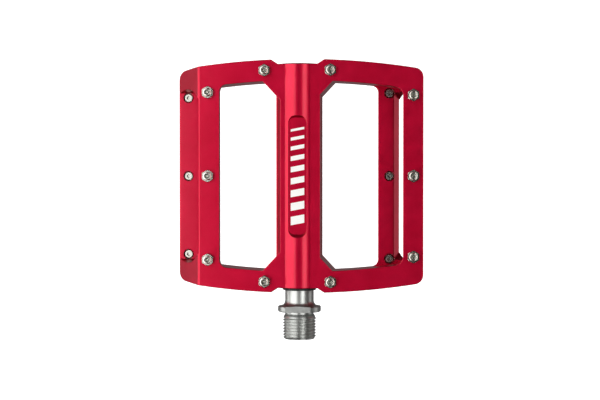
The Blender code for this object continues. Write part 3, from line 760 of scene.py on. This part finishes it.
def tube_profile():
    """The tube with a small chamfer at each end."""
    high, low = CENTRE_Y + TUBE_HALF, CENTRE_Y - TUBE_HALF
    inner = TUBE_RADIUS - TUBE_CHAMFER
    return [(0.0, high), (inner, high), (TUBE_RADIUS, high - TUBE_CHAMFER),
            (TUBE_RADIUS, low + TUBE_CHAMFER), (inner, low), (0.0, low)]


def platform_mesh():
    blank = prism(shifted(plan_outline()), -HALF_THICK - 1, HALF_THICK + 1, PLAN)
    ends = prism(end_section(), CENTRE_Y - CROWN - 1, CENTRE_Y + CROWN + 1, SECTION)
    plate = combine(blank, [ends], "INTERSECT")
    plate = combine_group(plate, window_tools() + slot_tools(), "DIFFERENCE")
    plate = broken_edges(cleaned(plate, 0.03, 0.3))
    joined = combine_group(plate, [turned(tube_profile(), TUBE_STEPS)], "UNION", True)
    holes = [turned(bore_profile(), BORE_STEPS)] + badge_tools() + pin_hole_tools()
    body = combine_group(joined, holes, "DIFFERENCE", True)
    return smooth(cleaned(body, 0.005, 0.2), SHADE_ANGLE)


def platform(finish):
    body = add_object("machined_platform", platform_mesh())
    even_shading(body)
    return dress(body, finish, "platform", ["platform_body"])


# ---- printed bars in the two pockets -------------------------------------------------

BAR_COUNT = 9
BAR_SPAN = 41.0
BAR_LONG, BAR_SHORT = 3.6, 1.0
BAR_HALF_WIDTH = 2.9
BAR_SLANT = 1.1
INK_THICK = 0.03


def bar_places():
    """Middle and length of each bar: long near the crank, short at the far end."""
    lengths = [BAR_LONG + (BAR_SHORT - BAR_LONG) * i / (BAR_COUNT - 1) for i in range(BAR_COUNT)]
    space = (BAR_SPAN - sum(lengths)) / (BAR_COUNT - 1)
    start = -BAR_SPAN / 2
    places = []
    for length in lengths:
        places.append((start + length / 2, length))
        start += length + space
    return places


def printed_bars(finish):
    floor = BADGE_FLOOR + 0.005
    solid = bmesh.new()
    for middle, length in bar_places():
        corners = [(-BAR_HALF_WIDTH, middle - length / 2 - BAR_SLANT / 2),
                   (BAR_HALF_WIDTH, middle - length / 2 + BAR_SLANT / 2),
                   (BAR_HALF_WIDTH, middle + length / 2 + BAR_SLANT / 2),
                   (-BAR_HALF_WIDTH, middle + length / 2 - BAR_SLANT / 2)]
        ends = [[solid.verts.new((x * MM, (y + CENTRE_Y) * MM, z * MM)) for x, y in corners]
                for z in (floor, floor + INK_THICK)]
        solid.faces.new(reversed(ends[0]))
        solid.faces.new(ends[1])
        for i in range(4):
            j = (i + 1) % 4
            solid.faces.new((ends[0][i], ends[0][j], ends[1][j], ends[1][i]))
    mesh = bpy.data.meshes.new("printed_bars")
    solid.to_mesh(mesh)
    solid.free()
    for side, shape in zip(("upper", "lower"), both_sides(mesh)):
        dress(add_object(f"printed_bars_{side}", shape), finish, "platform")


# ---- pins ----------------------------------------------------------------------------

def pin_profile():
    """Round tip with a rolled rim, then a threaded shank: (radius, height)."""
    tip, rim = PIN_HEIGHT, 0.35
    points = [(0.0, tip - 0.75), (0.35, tip - 0.72), (0.95, tip - 0.12), (1.05, tip - 0.03)]
    rolled = arc((PIN_TIP_RADIUS - rim, tip - rim), rim, 0.0, 90.0, 5)
    points += [(1.1, tip)] + list(reversed(rolled))
    points += [(PIN_TIP_RADIUS, PIN_HEX_TOP + 0.35), (PIN_TIP_RADIUS + 0.1, PIN_HEX_TOP + 0.1),
               (PIN_TIP_RADIUS + 0.25, PIN_HEX_TOP - 0.1), (PIN_SHANK_RADIUS - 0.2, 0.0)]
    crests = int((PIN_SHANK_DEPTH - 0.5) / PIN_PITCH)
    for i in range(crests):
        top = -0.15 - i * PIN_PITCH
        points += [(PIN_SHANK_RADIUS, top - 0.15), (PIN_SHANK_RADIUS, top - 0.3),
                   (PIN_SHANK_RADIUS - 0.3, top - 0.6)]
    return points + [(PIN_SHANK_RADIUS - 0.35, -PIN_SHANK_DEPTH), (0.0, -PIN_SHANK_DEPTH)]


def pin_mesh():
    stem = turned(pin_profile(), PIN_STEPS)
    stem.transform(Y_TO_Z)
    blank = cone_mesh(PIN_HEX_RADIUS, PIN_HEX_RADIUS, PIN_HEX_BASE, PIN_HEX_TOP, 6)
    reach = PIN_HEX_RADIUS + 0.05
    crown = turned([(0.0, PIN_HEX_TOP + 0.2), (reach - 0.7, PIN_HEX_TOP + 0.2),
                    (reach, PIN_HEX_TOP - 0.35), (reach, PIN_HEX_BASE + 0.15),
                    (reach - 0.5, PIN_HEX_BASE - 0.1), (0.0, PIN_HEX_BASE - 0.1)], PIN_STEPS)
    crown.transform(Y_TO_Z)
    nut = combine(blank, [crown], "INTERSECT")
    key = cone_mesh(PIN_KEY_RADIUS, PIN_KEY_RADIUS, -PIN_SHANK_DEPTH - 1,
                    PIN_KEY_DEPTH - PIN_SHANK_DEPTH, 6)
    mesh = combine(combine(stem, [nut], "UNION"), [key], "DIFFERENCE")
    return smooth(cleaned(mesh, 0.005, 0.2), 30.0)


def pins(finish):
    mesh = pin_mesh()
    for side, upper in (("upper", True), ("lower", False)):
        for name, place in PIN_PLACES.items():
            node = f"{side}_pin_{name}"
            pin = add_object(f"{node}_steel", mesh)
            pin.matrix_world = pin_frame(place, upper)
            dress(pin, finish, "platform", [node])


# ---- spindle ---------------------------------------------------------------------------

THREAD_STEP = 0.085
THREAD_LEAD = 0.25           # the end chamfer starts this far under the root
THREAD_FADE = 1.3
NUT_THREAD_START, NUT_THREAD_PITCH, NUT_THREAD_DEPTH = 105.0, 1.0, 0.35


def thread_height(turn):
    """0 at the root and 1 on the crest, over one turn of the thread."""
    phase = abs((turn % 1.0) - 0.5) * 2
    return min(1.0, max(0.0, (phase - 0.16) / 0.68))


def thread_radius(y, angle):
    """Radius of the threaded end at a place, with a right-hand thread that
    starts in a chamfer and fades into the neck."""
    fade = min(1.0, max(0.0, (THREAD_END + THREAD_FADE - y) / THREAD_FADE))
    height = thread_height(y / THREAD_PITCH + angle / math.tau)
    radius = THREAD_RADIUS - THREAD_DEPTH * fade * (1.0 - height)
    chamfer = THREAD_RADIUS - THREAD_DEPTH - THREAD_LEAD + y
    return min(radius, chamfer)


def spindle_stations():
    """(y, radius) rings from the threaded end outward; None means threaded."""
    count = int(THREAD_END / THREAD_STEP) + 1
    rings = [(THREAD_END * i / count, None) for i in range(count + 1)]
    rings += [(THREAD_END + 0.25, THREAD_RADIUS - 0.12)]
    rings += [(y, r) for r, y in reversed(arc((NECK_RADIUS + 1.2, 11.3), 1.2, 180.0, 232.0, 6))]
    rings += [(COLLAR_START - 0.1, NECK_RADIUS), (COLLAR_START, NECK_RADIUS + 0.15),
              (COLLAR_START, COLLAR_RADIUS - 0.45), (COLLAR_START + 0.4, COLLAR_RADIUS)]
    rings += [(COLLAR_END - 0.25, COLLAR_RADIUS), (COLLAR_END, COLLAR_RADIUS - 0.25)]
    flare = arc((SHAFT_RADIUS + 2.6, FLARE_END + 0.4), 2.6, 262.0, 180.0, 12)
    rings += [(y, r) for r, y in flare]
    rings += [(SHAFT_END - 0.1, SHAFT_RADIUS), (SHAFT_END + 0.1, JOURNAL_RADIUS),
              (JOURNAL_END, JOURNAL_RADIUS), (WAIST_START, WAIST_RADIUS),
              (SEAT_START, WAIST_RADIUS), (SEAT_START, SEAT_RADIUS)]
    end = SPINDLE_END
    crests = int((end - 1.0 - NUT_THREAD_START) / NUT_THREAD_PITCH)
    for i in range(crests):
        crest = NUT_THREAD_START + i * NUT_THREAD_PITCH
        rings += [(crest, SEAT_RADIUS),
                  (crest + NUT_THREAD_PITCH / 2, SEAT_RADIUS - NUT_THREAD_DEPTH)]
    return rings + [(end - 0.6, SEAT_RADIUS), (end, SEAT_RADIUS - 0.6)]


def spindle_mesh():
    solid = bmesh.new()
    rows = []
    for y, radius in spindle_stations():
        row = []
        for i in range(TURN_STEPS):
            angle = math.tau * i / TURN_STEPS
            r = thread_radius(y, angle) if radius is None else radius
            row.append(solid.verts.new((r * math.cos(angle) * MM, y * MM,
                                        r * math.sin(angle) * MM)))
        rows.append(row)
    for low, high in zip(rows, rows[1:]):
        for i in range(TURN_STEPS):
            j = (i + 1) % TURN_STEPS
            solid.faces.new((low[i], high[i], high[j], low[j]))
    solid.faces.new(rows[0])
    solid.faces.new(reversed(rows[-1]))
    bmesh.ops.recalc_face_normals(solid, faces=solid.faces)
    mesh = bpy.data.meshes.new("spindle")
    solid.to_mesh(mesh)
    solid.free()
    return mesh


def spindle(finish):
    reach = COLLAR_RADIUS + 2
    flats = [box_mesh((-reach, COLLAR_START - 0.5, low), (reach, FLARE_END + 1, high))
             for low, high in ((COLLAR_FLAT, reach), (-reach, -COLLAR_FLAT))]
    centre = cone_mesh(1.1, 0.05, -0.2, 1.1, 32)
    centre.transform(Z_TO_Y)
    mesh = combine(spindle_mesh(), flats + [centre], "DIFFERENCE")
    shaft = add_object("forged_spindle", smooth(cleaned(mesh, 0.004, 0.05), 32.0))
    return dress(shaft, finish, "spindle", ["spindle"])


# ---- seal, cap and the parts inside the tube ----------------------------------------------

def seal(finish):
    """Ring with a raised lip that rides on the shaft."""
    outer, inner = SEAL_HIGH.x, SHAFT_RADIUS + 0.12
    start, end = SEAL_LOW.y, SEAL_HIGH.y
    profile = [(outer, end), (outer, start + 0.45)]
    profile += list(reversed(arc((outer - 0.4, start + 0.4), 0.4, 270.0, 360.0, 6)))
    profile += [(inner + 0.55, start), (inner + 0.42, start + 0.25), (inner + 0.25, start + 0.28),
                (inner, start + 0.08), (inner, start + 0.6), (inner + 0.3, start + 0.9),
                (inner + 0.3, end - 0.3), (inner, end)]
    piece = add_object("lip_seal", smooth(turned(profile, TURN_STEPS, closed=True)))
    return dress(piece, finish, "platform", ["shaft_seal"])


def end_cap(finish):
    """Screw-in cap with a stepped face, an O-ring groove and a hex socket."""
    radius, start, end = CAP_HIGH.x, CAP_LOW.y, CAP_HIGH.y
    middle = (O_RING_LOW.y + O_RING_HIGH.y) / 2
    thick = O_RING_HIGH.y - O_RING_LOW.y
    top, bottom = middle + thick / 2 + 0.2, middle - thick / 2 - 0.2
    floor = O_RING_HIGH.x - thick - 0.15
    profile = [(0.0, end - 0.35), (4.6, end - 0.35), (4.9, end)]
    profile += list(reversed(arc((radius - 0.35, end - 0.35), 0.35, 0.0, 90.0, 6)))
    profile += [(radius, top), (floor, top), (floor, bottom), (radius, bottom)]
    profile += [(radius, start + 0.3), (radius - 0.3, start), (0.0, start)]
    key = cone_mesh(CAP_KEY_RADIUS, CAP_KEY_RADIUS, end - CAP_KEY_DEPTH, end + 1, 6)
    lead = cone_mesh(CAP_KEY_RADIUS - 0.36, CAP_KEY_RADIUS + 0.64, end - 0.8, end + 0.2, 48)
    for tool in (key, lead):
        tool.transform(Z_TO_Y)
    mesh = combine(turned(profile, TURN_STEPS), [key, lead], "DIFFERENCE")
    piece = add_object("threaded_cap", smooth(cleaned(mesh, 0.004, 0.1)))
    return dress(piece, finish, "platform", ["end_cap"])


def o_ring(finish):
    minor = (O_RING_HIGH.y - O_RING_LOW.y) / 2
    middle = (O_RING_LOW.y + O_RING_HIGH.y) / 2
    circle = arc((O_RING_HIGH.x - minor, middle), minor, 90.0, -270.0, 20)[:-1]
    piece = add_object("round_o_ring", smooth(turned(circle, TURN_STEPS, closed=True), 60.0))
    return dress(piece, finish, "platform", ["cap_o_ring"])


def dress_kept_nodes(finishes):
    """CAD nodes that are already the right shape only take a better material."""
    for node, finish in finishes.items():
        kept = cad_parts[node]
        kept.data.materials.clear()
        kept.data.materials.append(finish)


# ---- studio --------------------------------------------------------------------------------

CENTRE = Vector((0.0, CENTRE_Y * MM, 0.0))
FLOOR_HEIGHT = -0.160
CAMERA_OFFSET = Vector((0.0616, 0.0001, 0.6281))    # from the middle of the platform
CAMERA_TILT, CAMERA_LEAN = -0.95, 5.58
CAMERA_LENS = 87.4


def soft_box(name, angle, distance, width, length, brightness):
    """A long soft light beside the object, at an angle from straight above."""
    light = bpy.data.lights.new(name, "AREA")
    light.shape = "RECTANGLE"
    light.size, light.size_y = width, length
    light.energy = brightness * math.pi * width * length
    lamp = bpy.data.objects.new(name, light)
    bpy.context.scene.collection.objects.link(lamp)
    turn = math.radians(angle)
    lamp.location = CENTRE + Vector((math.sin(turn), 0.0, math.cos(turn))) * distance
    lamp.rotation_euler = (0.0, turn, 0.0)
    lamp.visible_camera = False
    return lamp


def world_light():
    """Pale surroundings: whiter near the horizon than above, and on the outboard side."""
    world = bpy.data.worlds.new("studio")
    bpy.context.scene.world = world
    world.use_nodes = True
    tree = world.node_tree
    place = tree.nodes.new("ShaderNodeTexCoord")
    split = tree.nodes.new("ShaderNodeSeparateXYZ")
    ramp = tree.nodes.new("ShaderNodeMapRange")
    tree.links.new(place.outputs["Generated"], split.inputs["Vector"])
    tree.links.new(split.outputs["Z"], ramp.inputs["Value"])
    for socket, number in (("From Min", 0.1), ("From Max", 0.75), ("To Min", 0.8),
                           ("To Max", 0.06)):
        ramp.inputs[socket].default_value = number
    side = tree.nodes.new("ShaderNodeMapRange")
    tree.links.new(split.outputs["Y"], side.inputs["Value"])
    for socket, number in (("From Min", -0.7), ("From Max", 0.5), ("To Min", 0.25),
                           ("To Max", 1.0)):
        side.inputs[socket].default_value = number
    both = tree.nodes.new("ShaderNodeMath")
    both.operation = "MULTIPLY"
    tree.links.new(ramp.outputs["Result"], both.inputs[0])
    tree.links.new(side.outputs["Result"], both.inputs[1])
    tree.links.new(both.outputs["Value"], tree.nodes["Background"].inputs["Strength"])


def floor():
    """Pale paper floor. It is lit up to white, and throws little light back."""
    mesh = bpy.data.meshes.new("floor")
    solid = bmesh.new()
    bmesh.ops.create_grid(solid, x_segments=1, y_segments=1, size=4.0)
    solid.to_mesh(mesh)
    solid.free()
    plane = add_object("floor", mesh)
    plane.location = (0.0, CENTRE.y, FLOOR_HEIGHT)
    paper = Finish("floor_paper", (0.86, 0.86, 0.86), 0.0, 0.9)
    paper.link(paper.spread(paper.noise(60, 4.0), 0.3, 0.7, 0.85, 0.95),
               paper.shader.inputs["Roughness"])
    paper.set("Emission Color", (1.0, 1.0, 1.0, 1.0))
    paper.set("Emission Strength", 0.6)
    tree = paper.tree
    rays = tree.nodes.new("ShaderNodeLightPath")
    grey = tree.nodes.new("ShaderNodeBsdfDiffuse")
    grey.inputs["Color"].default_value = (0.16, 0.16, 0.16, 1.0)
    mix = tree.nodes.new("ShaderNodeMixShader")
    paper.link(rays.outputs["Is Camera Ray"], mix.inputs["Fac"])
    paper.link(grey.outputs["BSDF"], mix.inputs[1])
    paper.link(paper.shader.outputs["BSDF"], mix.inputs[2])
    paper.link(mix.outputs["Shader"], tree.nodes["Material Output"].inputs["Surface"])
    plane.data.materials.append(paper.made)


def camera():
    data = bpy.data.cameras.new("camera")
    data.lens = CAMERA_LENS
    data.sensor_width = 36.0
    made = bpy.data.objects.new("camera", data)
    bpy.context.scene.collection.objects.link(made)
    made.location = CENTRE + CAMERA_OFFSET
    made.rotation_euler = (math.radians(CAMERA_TILT), math.radians(CAMERA_LEAN), 0.0)
    bpy.context.scene.camera = made


def main():
    camera()
    steel = turned_steel("forged_steel_finish", (0.52, 0.53, 0.51), 1)
    pin_steel = turned_steel("pin_steel_finish", (0.80, 0.78, 0.70), 2, 4200.0, (0.16, 0.26))
    race_steel = turned_steel("race_steel_finish", (0.66, 0.66, 0.67), 1, 6000.0, (0.08, 0.18))
    rubber, cap_finish = black_rubber(), black_anodised()

    platform(anodised_red())
    printed_bars(white_print())
    pins(pin_steel)
    spindle(steel)
    seal(rubber)
    end_cap(cap_finish)
    o_ring(rubber)
    inside = {"plain_bush": sintered_bronze(), "bearing_cage": moulded_nylon(),
              "thrust_washer": steel, "lock_nut": steel}
    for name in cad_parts:
        if name.startswith("bearing_") and name != "bearing_cage":
            inside[name] = race_steel
    dress_kept_nodes(inside)

    soft_box("key_left", -43.0, 0.85, 0.96, 1.6, 2.4)
    soft_box("fill_right", 32.0, 0.85, 0.34, 1.6, 3.0)
    soft_box("rim_left", -100.0, 0.6, 0.3, 1.2, 2.0)
    soft_box("rim_right", 106.0, 0.42, 0.22, 1.0, 0.9)
    world_light()
    floor()
    bpy.context.scene.view_settings.view_transform = "Standard"


main()
